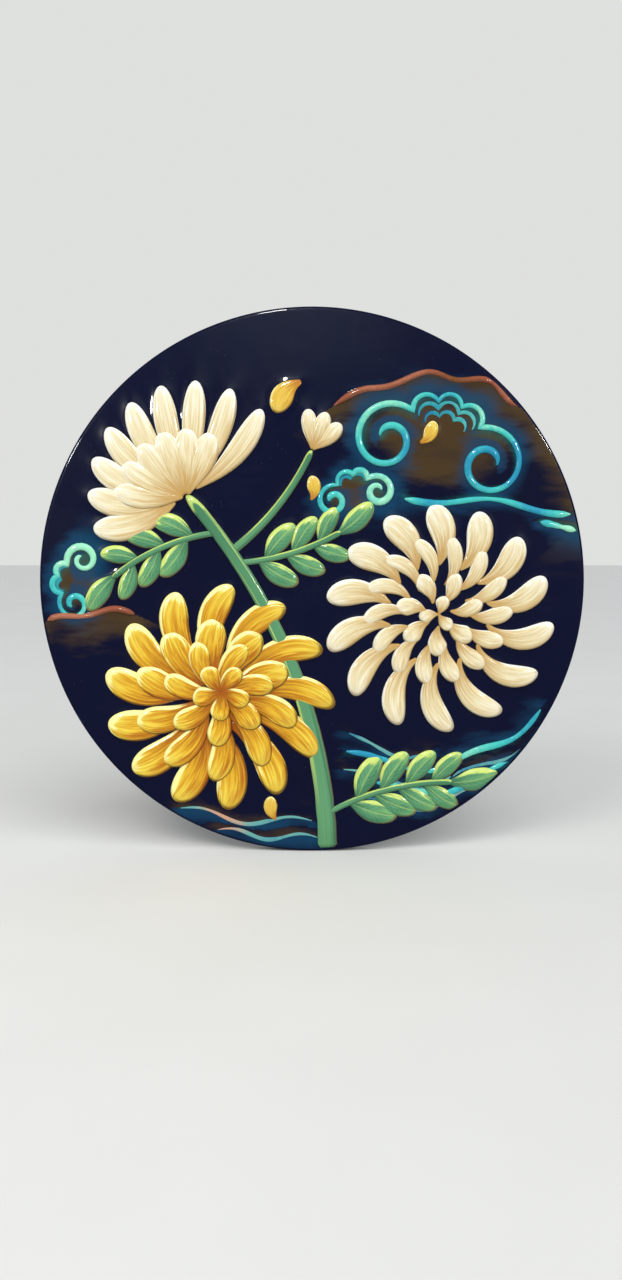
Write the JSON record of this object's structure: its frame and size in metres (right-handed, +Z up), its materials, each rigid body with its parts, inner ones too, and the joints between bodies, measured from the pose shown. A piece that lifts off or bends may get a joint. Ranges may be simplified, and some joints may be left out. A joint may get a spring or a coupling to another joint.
{
  "type": "lacquer wall plate",
  "caption": "Round glossy navy lacquer wall plate with cream and golden blooms, leafy sprigs and turquoise scroll clouds in low relief.",
  "frame": {"origin": "centre of the flat back, on the wall plane", "axes": "+Z up as the plate hangs, -Y out of the decorated face towards the viewer, +Y out of the back into the wall, +X to the viewer's right"},
  "size_m": [0.4, 0.016, 0.4],
  "materials": {
    "navy_lacquer": "deep navy lacquer on a board, polished to a mirror gloss",
    "cream_lacquer": "cream painted relief under clear gloss lacquer",
    "golden_lacquer": "golden yellow painted relief shading to amber, under clear gloss lacquer",
    "green_lacquer": "leaf green painted relief with yellow-green edges, under clear gloss lacquer",
    "turquoise_lacquer": "turquoise painted raised line under clear gloss lacquer",
    "russet_lacquer": "russet painted raised line under clear gloss lacquer"
  },
  "bodies": {
    "root": {"lacquer_plate": "navy_lacquer"}
  },
  "joints": []
}
